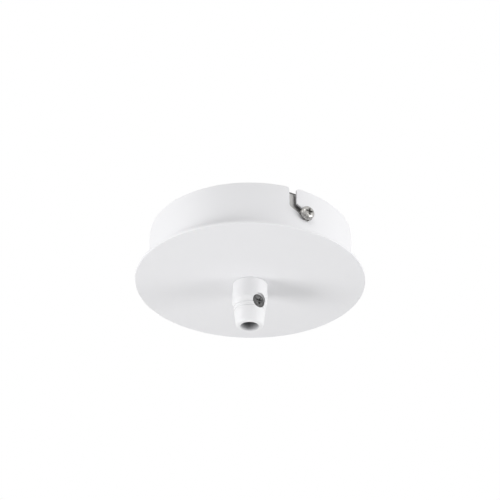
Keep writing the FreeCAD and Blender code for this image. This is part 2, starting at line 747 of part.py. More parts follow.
def make_earth_points():
    """An earth screw on the strap, and an earth stud with washer and nut in the cup."""
    washer = plain_washer("strap_earth_washer", s.earth_washer_diameter,
                          s.earth_screw_diameter / 2 + s.hole_clearance, s.earth_washer_thickness)
    place(washer.body, y=-s.earth_screw_place, z=strap_under_z - s.earth_washer_thickness)
    length = s.strap_thickness + s.earth_washer_thickness - s.fixing_screw_end
    earth = screw("strap_earth_screw", s.earth_screw_diameter, length,
                  s.earth_head_diameter, s.earth_head_height,
                  rounding=s.earth_head_height * EARTH_HEAD_ROUNDING_SHARE)
    cross_recess(earth, s.earth_head_diameter, s.earth_head_height)
    place(earth.body, y=-s.earth_screw_place, z=strap_under_z - s.earth_washer_thickness,
          rotation=facing_down())
    stud = Piece("cup_earth_stud")
    radius, flange, chamfer = s.stud_diameter / 2, s.stud_flange_diameter / 2, s.thread_chamfer
    stud.revolve([(0, 0), (flange, 0), (flange, s.stud_flange_thickness), (radius, s.stud_flange_thickness),
                  (radius, s.stud_length - chamfer), (radius - chamfer, s.stud_length), (0, s.stud_length)])
    place(stud.body, y=s.stud_place, z=floor_z)
    ring_z = floor_z + s.stud_flange_thickness
    ring = plain_washer("cup_earth_washer", s.stud_washer_diameter,
                        radius + s.hole_clearance, s.earth_washer_thickness)
    place(ring.body, y=s.stud_place, z=ring_z)
    nut = hexagon_nut("cup_earth_nut", s.stud_nut_across_flats, s.stud_nut_thickness,
                      radius + s.thread_clearance)
    place(nut.body, y=s.stud_place, z=ring_z + s.earth_washer_thickness)


def check_document():
    """Stops if any object failed or any piece isn't one valid solid."""
    for thing in doc.Objects:
        if "Invalid" in thing.State or "Error" in thing.State:
            raise ValueError(f"{thing.Name} failed: {thing.State}")
    for body in pieces():
        shape = body.Shape
        if shape.isNull() or not shape.isValid() or len(shape.Solids) != 1:
            raise ValueError(f"{body.Label} isn't one valid solid")


def pieces():
    return [thing for thing in doc.Objects if thing.TypeId == "PartDesign::Body"]


make_face_disc()
make_canopy_cup()
make_ceiling_bracket()
make_side_fixings()
make_cord_grip()
make_clamp()
make_tube_and_nut()
make_terminal_housing()
make_terminals()
make_block_fixings()
make_earth_points()
doc.recompute()
check_document()

os.makedirs("parts", exist_ok=True)
for body in pieces():
    body.Shape.exportStep(f"parts/{body.Label}.step")
    box = body.Shape.BoundBox
    print(f"{body.Label}: {body.Shape.Volume:.1f} mm3, z {box.ZMin:.2f} to {box.ZMax:.2f}")
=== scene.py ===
"""Ceiling rose: a round white canopy on a ceiling strap, with a cord grip in the middle of its face."""

import json
import math
from typing import NamedTuple

import bmesh
import bpy
from bpy.props import FloatProperty, FloatVectorProperty, PointerProperty
from mathutils import Matrix, Vector


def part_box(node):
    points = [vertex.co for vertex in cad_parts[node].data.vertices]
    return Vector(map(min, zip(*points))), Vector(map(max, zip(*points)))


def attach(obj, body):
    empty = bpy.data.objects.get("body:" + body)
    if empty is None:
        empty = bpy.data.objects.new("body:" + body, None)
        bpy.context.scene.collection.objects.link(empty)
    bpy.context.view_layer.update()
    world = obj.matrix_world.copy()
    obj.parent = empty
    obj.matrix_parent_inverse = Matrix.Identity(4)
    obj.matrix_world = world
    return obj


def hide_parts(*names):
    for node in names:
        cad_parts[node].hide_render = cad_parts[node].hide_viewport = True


bl_info = {
    "name": "Ceiling Rose",
    "version": (1, 0, 0),
    "blender": (4, 5, 0),
    "location": "View3D > Sidebar > Ceiling Rose",
    "description": "Paints, plates and details a ceiling rose around its packed solids",
    "category": "Add Mesh",
}

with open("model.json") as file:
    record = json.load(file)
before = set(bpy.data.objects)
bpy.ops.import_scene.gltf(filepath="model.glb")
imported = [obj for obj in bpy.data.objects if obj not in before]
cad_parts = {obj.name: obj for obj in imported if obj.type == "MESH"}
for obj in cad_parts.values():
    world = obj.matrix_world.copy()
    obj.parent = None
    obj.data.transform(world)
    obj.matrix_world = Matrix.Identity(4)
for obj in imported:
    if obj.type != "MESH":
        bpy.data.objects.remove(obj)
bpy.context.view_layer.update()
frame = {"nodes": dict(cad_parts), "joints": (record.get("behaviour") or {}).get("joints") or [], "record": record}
NODES = frame["nodes"]
JOINTS = {joint["name"]: joint for joint in frame["joints"]}
RECORD = frame["record"]
BODY_OF = {node: body for body, members in RECORD["behaviour"]["bodies"].items() for node in members}
SLOT_OF = {part["node"]: part["material_slot"] for part in RECORD["subparts"]}

# How many steps a full turn takes on each round piece
DISC_SEGMENTS = 256
CUP_SEGMENTS = 288
GRIP_SEGMENTS = 160
TUBE_SEGMENTS = 96
SCREW_SEGMENTS = 64


class ScrewSize(NamedTuple):
    """A screw's sizes in metres: its shank's radius, its head's height, the rounding of the head's top,
    the thread's pitch and the recess's depth."""

    shank: float
    head: float
    crown: float
    pitch: float
    recess: float


SIDE_SCREW = ScrewSize(shank=0.0015, head=0.0024, crown=0.00144, pitch=0.0005, recess=0.001)
TERMINAL_SCREW = ScrewSize(shank=0.0013, head=0.0018, crown=0.0003, pitch=0.00045, recess=0.0009)
BLOCK_SCREW = ScrewSize(shank=0.0015, head=0.0019, crown=0.0006, pitch=0.0005, recess=0.00095)
EARTH_SCREW = ScrewSize(shank=0.00175, head=0.0022, crown=0.0009, pitch=0.0006, recess=0.0013)

# Pitches of the other threads in metres, and how deep each thread is cut as a share of its pitch
TUBE_PITCH, TUBE_THREAD = 0.001, 0.5
GRUB_PITCH, GRUB_THREAD = 0.001, 0.3
STUD_PITCH, STUD_THREAD = 0.0007, 0.5
SCREW_THREAD = 0.55

# The tube's wall, the stud's radius and the height of its foot, and the cone at the end of both threads
TUBE_WALL = 0.001
STUD_SHANK = 0.002
STUD_FOOT = 0.0008
THREAD_CHAMFER = 0.00035

# Shares of a head's radius: a cross recess's reach and half the width of a straight slot
CROSS_REACH = 0.57
SLOT_HALF = 0.2

# The clamp screw's cone and its recess's reach as shares of its radius, and that recess's depth as a
# share of its length
GRUB_CHAMFER, GRUB_REACH, GRUB_RECESS = 0.13, 0.55, 0.3

# A washer's hole as a share of its outer radius, and its number of teeth
TOOTHED_WASHERS = {"side_washer_front": (0.524, 10), "side_washer_back": (0.524, 10),
                   "tube_washer": (0.632, 12)}
# Where the teeth start, as a share of the ring's width, and half the ring's sheet and the rounding of
# its edges, as shares of the height over the twisted teeth
TOOTH_START, RING_HALF, RING_EDGE = 0.42, 0.2, 0.07
# Along one tooth: the share of its step, how far out that point lies, and how far it leans
TOOTH = ((0.0, "root", 0), (0.24, "root", 0), (0.30, "neck", -0.4), (0.34, "tip", -1), (0.5, "tip", 0),
         (0.66, "tip", 1), (0.70, "neck", 0.4), (0.76, "root", 0))

# Each lamp's direction as the camera sees it, its distance from the disc and its width, in metres
LAMPS = {
    "left_lamp": ((-1.0, -0.25, -0.62), 0.9, 0.4),
    "upper_left_lamp": ((-1.0, -0.3, 0.3), 0.9, 0.4),
    "right_lamp": ((1.0, -0.25, -0.25), 0.9, 0.4),
    "upper_right_lamp": ((1.0, -0.6, 0.3), 0.9, 0.4),
    "front_lamp": ((0.0, -1.0, 0.5), 1.0, 0.6),
}
WHITE = (1.0, 1.0, 1.0)

# How far light sinks into moulded plastic, in metres
LIGHT_SINKS = 0.002

# How brushed lines are stretched, along the strap and along the terminal tubes
ALONG_Y = (1.0, 0.06, 1.0)
ALONG_X = (0.1, 1.0, 1.0)

# The photograph is square, and the camera's place in metres and its angles were fitted to it
PHOTO_PIXELS = 500
CAMERA_FOCUS_PIXELS = 1180.14
CAMERA_AZIMUTH = math.radians(-30.1)
CAMERA_PITCH = math.radians(31.477)
CAMERA_ROLL = math.radians(0.574)
CAMERA_PLACE = Vector((-0.000184, -0.446, -0.25505))
SENSOR_WIDTH = 36.0

SIDES = ("front", "back")
POLES = ("front", "middle", "back")
WIRE_SIDES = ("lamp", "supply")
DOWN = (0, 0, -1)

# How far a cutter goes beyond what it cuts, in metres
OVERCUT = 0.001

# The longest step of a round corner, the least angle of an edge that is rounded, the most that faces of
# one flat may differ, and the distance within which points are one
ARC_STEP = math.radians(10)
SHARP_ANGLE = math.radians(35)
FLAT_ANGLE = math.radians(1)
MERGE_DISTANCE = 1e-6

# The attribute that marks the faces of driver recesses
RECESS_MARK = "recess"


def length(label, description, default):
    """A size that a user may change, in metres."""
    return FloatProperty(name=label, description=description, default=default, min=0.0,
                         precision=5, subtype="DISTANCE", unit="LENGTH")


def share(label, description, default):
    """A number from 0 to 1."""
    return FloatProperty(name=label, description=description, default=default, min=0.0, max=1.0)


def colour(label, description, default):
    """A colour that a user may change, in linear light."""
    return FloatVectorProperty(name=label, description=description, default=default,
                               min=0.0, max=1.0, size=3, subtype="COLOR")


def power(label, default):
    """How strongly one lamp shines."""
    return FloatProperty(name=label, description=f"Light from the {label.lower()}", default=default,
                         min=0.0, subtype="POWER", unit="POWER")


class RoseSizes(bpy.types.PropertyGroup):
    """Sizes of the details that the solids leave plain."""

    disc_edge: length("Disc edge", "Rounding of the face disc's rim", 0.0003)
    cup_wall: length("Cup wall", "Thickness of the cup's sheet", 0.0007)
    cup_corner: length("Cup corner", "Outer rounding where the wall meets the floor", 0.0016)
    sheet_edge: length("Sheet edge", "Rounding of a painted sheet's cut edge", 0.00016)
    slot_width: length("Slot width", "Width of the J-shaped slots", 0.0033)
    slot_lead: length("Slot lead", "Rounding at the slot's mouth on its open side", 0.0012)
    slot_lip: length("Slot lip", "Rounding at the slot's mouth on its hooked side", 0.001)
    grip_straight: length("Grip straight", "Height of the grip's straight upper part", 0.0091)
    grip_step: length("Grip step", "How far the grip steps in below its straight part", 0.00045)
    grip_step_height: length("Grip step height", "Height of that step", 0.0014)
    grip_taper: FloatProperty(name="Grip taper", description="Slope of the grip's nose",
                              default=math.radians(7.85), subtype="ANGLE", unit="ROTATION")
    grip_tip: length("Grip tip", "Rounding at the grip's lower end", 0.0013)
    grip_socket: length("Grip socket", "Depth of the socket for the threaded tube", 0.0066)
    cord_bore: length("Cord bore", "Diameter of the cord's bore", 0.0074)
    cord_lip: length("Cord lip", "Rounding at the bore's mouth", 0.0008)
    seam_top: length("Seam", "Depth of the upper seam line below the disc", 0.01125)
    seam_spacing: length("Seam spacing", "Distance between the two seam lines", 0.00175)
    seam_width: length("Seam width", "Width of a seam line", 0.00045)
    seam_depth: length("Seam depth", "Depth of a seam line", 0.00035)
    clamp_mouth: length("Clamp mouth", "Diameter of the clamp hole's mouth", 0.0066)
    clamp_mouth_reach: length("Clamp mouth reach", "Where that mouth starts from the axis", 0.0063)
    thread_clearance: length("Thread clearance", "Gap round a screw in its tapped hole", 0.00005)
    recess_arm: length("Recess arm", "Width of a cross recess's arm", 0.00095)
    screw_edge: length("Screw edge", "Rounding of a screw head's edges", 0.00007)
    moulded_edge: length("Moulded edge", "Rounding of moulded and bent edges", 0.0002)
    strap_bend: length("Strap bend", "Outer rounding of the strap's bends", 0.0033)
    overspray: length("Overspray", "How far paint drifts down inside the cup's rim", 0.009)
    overspray_fade: length("Overspray fade", "How unevenly that paint's border runs", 0.004)
    dusting_full: length("Dusting full", "How far into the wall the inner dusting is full", 0.00005)
    dusting_end: length("Dusting end", "How far into the wall the inner dusting ends", 0.0003)


class RoseColours(bpy.types.PropertyGroup):
    """Colours of the finishes."""

    paint: colour("Paint", "White paint on disc and cup", (0.86, 0.86, 0.875))
    grip: colour("Grip", "White of the cord grip", (0.87, 0.87, 0.88))
    zinc: colour("Zinc", "Zinc-plated strap and nuts", (0.5, 0.495, 0.485))
    nickel: colour("Nickel", "Nickel-plated screws", (0.52, 0.51, 0.49))
    dark_steel: colour("Dark steel", "Blackened clamp screw", (0.12, 0.12, 0.12))
    brass: colour("Brass", "Terminal tubes", (0.75, 0.58, 0.3))
    terminal_steel: colour("Terminal steel", "Terminal screws", (0.6, 0.6, 0.58))
    block: colour("Block", "Moulded terminal block and pad", (0.85, 0.84, 0.8))
    bare_sheet: colour("Bare sheet", "Inside of the cup, where little paint lands", (0.27, 0.27, 0.28))
    # Painted shade in the grip's two seam lines
    seam_shade: colour("Seam dirt", "Dirt in the grip's seam lines", (0.3, 0.3, 0.31))
    # Painted shade in the grip's bore: grey at its mouth, darkening to near black deep inside
    bore_mouth_shade: colour("Bore mouth", "Grip's bore near its mouth", (0.66, 0.66, 0.68))
    bore_depth_shade: colour("Bore depth", "Grip's bore deep inside", (0.13, 0.13, 0.14))
    floor: colour("Floor", "Pale floor far below the ceiling", (0.8, 0.8, 0.8))


class RoseStudio(bpy.types.PropertyGroup):
    """Lamps and surroundings."""

    left_lamp: power("Left lamp", 4.2)
    upper_left_lamp: power("Upper left lamp", 0.8)
    right_lamp: power("Right lamp", 4.1)
    upper_right_lamp: power("Upper right lamp", 0.35)
    front_lamp: power("Front lamp", 1.6)
    surroundings: share("Surroundings", "Strength of the even light from all round", 0.48)
    floor_drop: length("Floor drop", "How far the floor lies below the ceiling", 0.8)
    floor_size: length("Floor size", "Width of the floor", 6.0)
    floor_paleness: share("Floor paleness", "Share of plain white in the floor as it is seen", 0.6)


def sizes():
    """The sizes as they stand in the scene."""
    return bpy.context.scene.rose_sizes


def colours():
    """The colours as they stand in the scene."""
    return bpy.context.scene.rose_colours


def box_of(node):
    """A node's lowest corner, highest corner and size."""
    low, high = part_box(node)
    return low, high, high - low


def rounded(corners):
    """Points of a closed outline. A corner is x, y and, where it is round, its radius."""
    points = []
    for index, (x, y, *radius) in enumerate(corners):
        corner = Vector((x, y))
        if not radius or radius[0] <= 0:
            points.append(corner)
            continue
        before = (Vector(corners[index - 1][:2]) - corner).normalized()
        after = (Vector(corners[(index + 1) % len(corners)][:2]) - corner).normalized()
        half = before.angle(after) / 2
        centre = corner + (before + after).normalized() * radius[0] / math.sin(half)
        start = corner + before * radius[0] / math.tan(half) - centre
        end = corner + after * radius[0] / math.tan(half) - centre
        sweep = math.atan2(start.cross(end), start.dot(end))
        steps = max(2, math.ceil(abs(sweep) / ARC_STEP))
        for step in range(steps + 1):
            points.append(centre + Matrix.Rotation(sweep * step / steps, 2) @ start)
    return points


def arc(centre, radius, first, last):
    """Points of an arc, with its angles in radians."""
    steps = max(2, math.ceil(abs(last - first) / ARC_STEP))
    return [Vector(centre) + radius * Vector((math.cos(turn), math.sin(turn)))
            for turn in (first + (last - first) * step / steps for step in range(steps + 1))]


def turned(outline, segments, pitch=0.0, depth=0.0):
    """Sweeps a closed outline of radius and height round Z. Where a point has a third number, its share
    of a screw thread of that pitch and depth is cut into the surface."""
    shape = bmesh.new()
    rings = []
    for radius, height, *lift in outline:
        if radius < MERGE_DISTANCE:
            rings.append([shape.verts.new((0, 0, height))])
            continue
        ring = []
        for step in range(segments):
            turn = 2 * math.pi * step / segments
            reach = radius
            if lift:
                wave = math.cos(2 * math.pi * height / pitch - turn)
                reach -= depth * lift[0] * (1 - wave) / 2
            ring.append(shape.verts.new((reach * math.cos(turn), reach * math.sin(turn), height)))
        rings.append(ring)
    for first, second in zip(rings, rings[1:] + rings[:1]):
        for step in range(segments):
            following = (step + 1) % segments
            if len(first) == 1 and len(second) == 1:
                break
            if len(first) == 1:
                shape.faces.new((first[0], second[step], second[following]))
            elif len(second) == 1:
                shape.faces.new((first[step], second[0], first[following]))
            else:
                shape.faces.new((first[step], second[step], second[following], first[following]))
    return shape


def thread_rows(radius, low, high, pitch, rows_a_turn=8):
    """Outline points of a threaded stretch from low to high, whose thread runs out at both ends."""
    count = math.ceil((high - low) / pitch * rows_a_turn)
    rows = []
    for row in range(count + 1):
        height = low + (high - low) * row / count
        to_end = min(height - low, high - height)
        rows.append((radius, height, min(1.0, to_end / (pitch / 2))))
    return rows


def prism(lower, upper, low, high, standing=True):
    """A solid between two outlines with as many points, standing on Z or lying along Y."""
    shape = bmesh.new()
    rings = []
    for outline, level in ((lower, low), (upper, high)):
        spots = [(x, y, level) if standing else (x, level, y) for x, y in outline]
        rings.append([shape.verts.new(spot) for spot in spots])
    shape.faces.new(rings[0])
    shape.faces.new(rings[1])
    count = len(rings[0])
    for index in range(count):
        following = (index + 1) % count
        shape.faces.new((rings[0][index], rings[0][following], rings[1][following], rings[1][index]))
    return shape


def circle(radius, segments=64):
    """Outline of a circle."""
    turns = [2 * math.pi * step / segments for step in range(segments)]
    return [(radius * math.cos(turn), radius * math.sin(turn)) for turn in turns]


def cross(reach, half):
    """Outline of a cross with four arms."""
    quarter = [(half, half), (half, reach), (-half, reach)]
    points = []
    for turn in range(4):
        quarter_turns = Matrix.Rotation(math.pi / 2 * turn, 2)
        points += [quarter_turns @ Vector(point) for point in quarter]
    return points


def solid(name, shape, matrix=None):
    """Turns a bmesh into an object, with its place in its mesh."""
    bmesh.ops.recalc_face_normals(shape, faces=shape.faces)
    mesh = bpy.data.meshes.new(name)
    shape.to_mesh(mesh)
    shape.free()
    if matrix is not None:
        mesh.transform(matrix)
    piece = bpy.data.objects.new(name, mesh)
    bpy.context.scene.collection.objects.link(piece)
    return piece


def carve(piece, cutters, mark=None):
    """Cuts each cutter out of a piece for good, and marks the cut faces where asked."""
    if mark is not None:
        for form, value in ((piece, 0.0), *((cutter, 1.0) for cutter in cutters)):
            layer = form.data.attributes.new(mark, "FLOAT", "FACE")
            layer.data.foreach_set("value", [value] * len(form.data.polygons))
    for cutter in cutters:
        cut = piece.modifiers.new("Cut", "BOOLEAN")
        cut.operation = "DIFFERENCE"
        cut.solver = "EXACT"
        cut.object = cutter
    graph = bpy.context.evaluated_depsgraph_get()
    carved = bpy.data.meshes.new_from_object(piece.evaluated_get(graph))
    piece.modifiers.clear()
    plain, piece.data = piece.data, carved
    carved.name = plain.name
    bpy.data.meshes.remove(plain)
    for cutter in cutters:
        bpy.data.meshes.remove(cutter.data)


def sharp_edges(shape):
    """The edges where two faces meet at a clear angle."""
    return [edge for edge in shape.edges
            if len(edge.link_faces) == 2 and edge.calc_face_angle() > SHARP_ANGLE]


def soften(piece, width, chosen=None, segments=2):
    """Rounds a piece's sharp edges, or those whose middle the test chooses."""
    shape = bmesh.new()
    shape.from_mesh(piece.data)
    weight = shape.edges.layers.float.new("bevel_weight_edge")
    for edge in sharp_edges(shape):
        middle = (edge.verts[0].co + edge.verts[1].co) / 2
        if chosen is None or chosen(middle):
            edge[weight] = 1.0
    shape.to_mesh(piece.data)
    shape.free()
    bevel = piece.modifiers.new("Soft edges", "BEVEL")
    bevel.limit_method = "WEIGHT"
    bevel.width = width
    bevel.segments = segments
    bevel.harden_normals = True


def seat(piece, node):
    """Smooths a piece, gives it the node's finish and puts it on the node's body in the node's stead."""
    piece.data.materials.clear()
    piece.data.materials.append(finish(SLOT_OF[node]))
    piece.data.shade_smooth()
    shape = bmesh.new()
    shape.from_mesh(piece.data)
    for edge in sharp_edges(shape):
        edge.smooth = False
    shape.to_mesh(piece.data)
    shape.free()
    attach(piece, BODY_OF[node])
    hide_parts(node)


def softened_copy(node, name, width):
    """A node's own form with its flat faces whole again and its edges rounded."""
    shape = bmesh.new()
    shape.from_mesh(NODES[node].data)
    bmesh.ops.remove_doubles(shape, verts=shape.verts, dist=MERGE_DISTANCE)
    bmesh.ops.dissolve_limit(shape, angle_limit=FLAT_ANGLE, verts=shape.verts, edges=shape.edges)
    piece = solid(name, shape)
    soften(piece, width)
    seat(piece, node)


def along(axis, origin):
    """A matrix that stands local Z along an axis, from an origin."""
    return Matrix.Translation(origin) @ Vector(axis).to_track_quat("Z", "Y").to_matrix().to_4x4()


class Wire:
    """A node's output. Python's operators on it add Math nodes."""

    def __init__(self, tree, socket):
        self.tree = tree
        self.socket = socket

    def maths(self, operation, first, second):
        node = self.tree.nodes.new("ShaderNodeMath")
        node.operation = operation
        connect(self.tree, first, node.inputs[0])
        connect(self.tree, second, node.inputs[1])
        return Wire(self.tree, node.outputs[0])

    def __add__(self, other):
        return self.maths("ADD", self, other)

    def __radd__(self, other):
        return self.maths("ADD", other, self)

    def __sub__(self, other):
        return self.maths("SUBTRACT", self, other)

    def __rsub__(self, other):
        return self.maths("SUBTRACT", other, self)

    def __mul__(self, other):
        return self.maths("MULTIPLY", self, other)

    def __rmul__(self, other):
        return self.maths("MULTIPLY", other, self)

    def __pow__(self, other):
        return self.maths("POWER", self, other)

    def __abs__(self):
        return self.maths("ABSOLUTE", self, 0.0)


def connect(tree, value, socket):
    """Links a wire to a socket, or sets the socket to a value."""
    if isinstance(value, Wire):
        tree.links.new(value.socket, socket)
    elif hasattr(value, "__len__") and len(value) == 3 and socket.type == "RGBA":
        socket.default_value = (*value, 1.0)
    else:
        socket.default_value = value


class Nodes:
    """A node tree that nodes are added to."""

    def __init__(self, tree):
        self.tree = tree

    def node(self, kind, settings=None, sockets=None, output=0):
        """Adds a node: its settings first, then its sockets' values or links."""
        node = self.tree.nodes.new(kind)
        for name, value in (settings or {}).items():
            setattr(node, name, value)
        for name, value in (sockets or {}).items():
            connect(self.tree, value, node.inputs[name])
        return Wire(self.tree, node.outputs[output])

    def seen(self):
        """1 where the camera looks, straight or by way of metal and glass, and 0 for light on its way."""
        camera, glossy, through = (self.node("ShaderNodeLightPath", output=f"Is {kind} Ray")
                                   for kind in ("Camera", "Glossy", "Transmission"))
        total = camera + glossy + through
        return total.maths("MINIMUM", total, 1.0)


class Finish(Nodes):
    """A material whose surface varies by nodes."""

    def __init__(self, name):
        self.material = bpy.data.materials.new(name)
        self.material.use_nodes = True
        super().__init__(self.material.node_tree)
        self.shader = self.tree.nodes["Principled BSDF"]
        self.place = self.node("ShaderNodeTexCoord", output="Object")

    def noise(self, scale, detail=2.0, stretch=(1.0, 1.0, 1.0)):
        """Cloudy variation, so many waves to the metre, stretched along an axis where asked."""
        place = self.node("ShaderNodeVectorMath", {"operation": "MULTIPLY"}, {0: self.place, 1: stretch})
        return self.node("ShaderNodeTexNoise", None, {"Vector": place, "Scale": scale, "Detail": detail})

    def axes(self):
        """The x, y and z of a point on the piece, in metres."""
        return [self.node("ShaderNodeSeparateXYZ", None, {0: self.place}, axis) for axis in "XYZ"]

    def step(self, value, low, high):
        """Rises from 0 to 1 as a value goes from low to high."""
        return self.node("ShaderNodeMapRange", {"interpolation_type": "SMOOTHSTEP"},
                         {"Value": value, "From Min": low, "From Max": high})

    def mix(self, factor, first, second):
        """Goes from the first colour to the second."""
        return self.node("ShaderNodeMix", {"data_type": "RGBA"}, {0: factor, 6: first, 7: second}, 2)

    def surface(self, **settings):
        """Sets or links the shader's own sockets, written with _ for a space."""
        for name, value in settings.items():
            connect(self.tree, value, self.shader.inputs[name.replace("_", " ")])

    def relief(self, height, distance):
        """Bumps of a height from 0 to 1 over a real distance."""
        bump = self.node("ShaderNodeBump", None, {"Distance": distance, "Height": height}, "Normal")
        connect(self.tree, bump, self.shader.inputs["Normal"])


def shaded(tint, factor):
    """A colour made that much darker or lighter."""
    return tuple(min(1.0, channel * factor) for channel in tint)


def white_paint(name, tint, roughness, relief, bare_or_shaded):
    """Satin paint: a fine orange peel, faint clouds in its white and a few specks of dust. The last argument
    finds the surfaces that the spray hardly reached and their colour, or paints shade into the grip's bore and
    seams."""
    paint = Finish(name)
    peel = paint.noise(700.0, 2.0)
    fine = paint.noise(4000.0, 1.0)
    clouds = paint.noise(30.0, 3.0)
    specks = paint.step(paint.noise(2600.0, 0.0), 0.79, 0.83)
    white = paint.mix(specks * 0.25, paint.mix(clouds, tint, shaded(tint, 0.985)), shaded(tint, 0.8))
    paint.surface(Base_Color=bare_or_shaded(paint, white), Roughness=roughness + 0.08 * clouds + 0.05 * peel,
                  IOR=1.48)
    paint.relief(peel * 0.7 + fine * 0.3, relief)
    return paint.material


def thin_inside(paint, white):
    """Inside the cup the paint is only a thin grey dusting, but for the rim and the walls by the slots."""
    low, high, size = box_of("canopy_cup")
    s = sizes()
    inside = size.x / 2 - s.cup_wall
    x, y, z = paint.axes()
    reach = (x * x + y * y) ** 0.5
    within = 1.0 - paint.step(reach, inside + s.dusting_full, inside + s.dusting_end)
    above = paint.step(z, low.z + s.cup_wall * 0.4, low.z + s.cup_wall * 0.8)
    drift = paint.noise(45.0, 3.0)
    overspray = paint.step(z + s.overspray_fade * drift, high.z - s.overspray, high.z + s.overspray_fade)
    dusting = 1.0 - 0.55 * overspray - 0.12 * drift
    near_middle = 1.0 - paint.step(abs(x), s.slot_width * 1.6, s.slot_width * 2.6)
    beside_slot = near_middle * paint.step(abs(y), inside * 0.8, inside * 0.9)
    bare = within * above * dusting * (1.0 - beside_slot)
    return paint.mix(bare, white, tuple(colours().bare_sheet))


def bore_and_seam_shade(paint, white):
    """Painted shade in the two seam lines, stronger in patches, and painted shade in a bore that darkens with its
    depth.
    """
    low, high, _ = box_of("cord_grip_body")
    s = sizes()
    x, y, z = paint.axes()
    reach = (x * x + y * y) ** 0.5
    patches = paint.step(paint.noise(110.0, 1.0), 0.35, 0.65)
    for middle in (s.seam_top, s.seam_top + s.seam_spacing):
        line = 1.0 - paint.step(abs(z - (high.z - middle)), s.seam_width * 0.2, s.seam_width * 0.6)
        # Painted shade in each seam line, stronger in patches
        white = paint.mix(line * (0.12 + 0.3 * patches), white, tuple(colours().seam_shade))
    # Painted shade in the bore, darker the deeper it goes
    bore = 1.0 - paint.step(reach, s.cord_bore / 2 + s.cord_lip * 0.2, s.cord_bore / 2 + s.cord_lip * 0.75)
    depth = paint.step(z, low.z - s.cord_lip, low.z + s.cord_bore * 0.65)
    bore_shade = paint.mix(depth, tuple(colours().bore_mouth_shade), tuple(colours().bore_depth_shade))
    return paint.mix(bore, white, bore_shade)


def brushed_metal(name, tint, roughness, relief, stretch, shade_finder=None):
    """Plated or rolled metal: fine lines along its length, and dull patches. The last argument, where given,
    finds where shade is painted into the plating, making it dark and dull."""
    metal = Finish(name)
    lines = metal.noise(900.0, 3.0, stretch)
    patches = metal.noise(160.0, 3.0)
    dull = metal.step(patches, 0.4, 0.75)
    tone = metal.mix(dull * 0.5, metal.mix(lines, shaded(tint, 0.86), shaded(tint, 1.1)), shaded(tint, 0.8))
    bright, rough = 1.0, roughness + 0.12 * lines + 0.12 * dull
    if shade_finder is not None:
        # Shade painted into the plating: darker, less metallic and rougher where the band lies
        painted_shade = shade_finder(metal)
        tone = metal.mix(painted_shade, tone, shaded(tint, 0.12))
        bright, rough = 1.0 - 0.9 * painted_shade, rough + 0.4 * painted_shade
    metal.surface(Base_Color=tone, Metallic=bright, Roughness=rough)
    metal.relief(lines * 0.7 + patches * 0.3, relief)
    return metal.material


def painted_bend_shade(metal):
    """Painted shade: a dark, patchy band along the outside of the strap's bends."""
    high = box_of("ceiling_bracket")[1]
    _, y, z = metal.axes()
    bend = sizes().strap_bend
    outer = metal.step(abs(y), high.y - bend * 0.95, high.y - bend * 0.45)
    upward = 1.0 - metal.step(z, -bend * 0.2, 0.0)
    patches = 0.75 + 0.25 * metal.noise(260.0, 3.0, (1.0, 1.0, 2.0))
    return outer * metal.step(z, -bend * 0.8, -bend * 0.6) * upward * patches


def bright_metal(name, tint, roughness, relief):
    """Plating with small waves, pits and stains, and painted shade in its driver recesses."""
    metal = Finish(name)
    waves = metal.noise(1500.0, 2.0)
    pits = metal.step(metal.noise(2600.0, 1.0), 0.52, 0.62)
    stains = metal.step(metal.noise(900.0, 2.0), 0.46, 0.62)
    recess = metal.node("ShaderNodeAttribute", {"attribute_name": RECESS_MARK}, output="Fac")
    tone = metal.mix(stains * 0.7, tint, shaded(tint, 0.6))
    tone = metal.mix(pits * 0.6, tone, shaded(tint, 0.35))
    # Painted shade: the recess faces are darkened and made rougher
    metal.surface(Base_Color=metal.mix(recess * 0.3, tone, shaded(tint, 0.15)), Metallic=1.0,
                  Roughness=roughness + 0.1 * stains + 0.15 * pits + 0.25 * recess)
    metal.relief(waves * 0.8 - pits * 0.3, relief)
    return metal.material


def blackened_steel(name, tint, roughness, relief):
    """Oil-blackened steel, worn a little brighter in patches."""
    steel = Finish(name)
    coarse = steel.noise(1300.0, 3.0)
    worn = steel.step(coarse, 0.5, 0.7)
    steel.surface(Base_Color=steel.mix(worn, tint, shaded(tint, 1.7)), Metallic=0.9,
                  Roughness=roughness - 0.08 * worn)
    steel.relief(coarse, relief)
    return steel.material


def moulded_plastic(name, tint, roughness, relief):
    """Moulded plastic: faint flow marks, a fine skin and a little light that sinks in."""
    plastic = Finish(name)
    flow = plastic.noise(90.0, 3.0, (1.0, 0.4, 1.0))
    skin = plastic.noise(5200.0, 2.0)
    plastic.surface(Base_Color=plastic.mix(flow, tint, shaded(tint, 0.955)),
                    Roughness=roughness + 0.1 * flow + 0.04 * skin, IOR=1.5,
                    Subsurface_Weight=0.12, Subsurface_Radius=(LIGHT_SINKS,) * 3, Subsurface_Scale=1.0)
    plastic.relief(skin * 0.6 + flow * 0.4, relief)
    return plastic.material


def finish(slot):
    """The material for one of the record's slots, made once. A row of the table has the maker, the tint,
    the roughness and the height of the relief in metres."""
    name = f"rose_{slot}"
    made = bpy.data.materials.get(name)
    if made is not None:
        return made
    maker, tint, roughness, relief, *rest = {
        "white_metal": (white_paint, "paint", 0.36, 0.000012, thin_inside),
        "white_plastic": (white_paint, "grip", 0.36, 0.000006, bore_and_seam_shade),
        "zinc_steel": (brushed_metal, "zinc", 0.18, 0.000012, ALONG_Y, painted_bend_shade),
        "nickel_steel": (bright_metal, "nickel", 0.24, 0.00002),
        "dark_steel": (blackened_steel, "dark_steel", 0.55, 0.0001),
        "brass": (brushed_metal, "brass", 0.22, 0.000006, ALONG_X),
        "terminal_steel": (bright_metal, "terminal_steel", 0.24, 0.00001),
        "block_plastic": (moulded_plastic, "block", 0.42, 0.00001),
    }[slot]
    return maker(name, tuple(getattr(colours(), tint)), roughness, relief, *rest)


def tube_hole():
    """Radius of the holes that the threaded tube passes through."""
    return box_of("threaded_tube")[2].x / 2 + sizes().thread_clearance


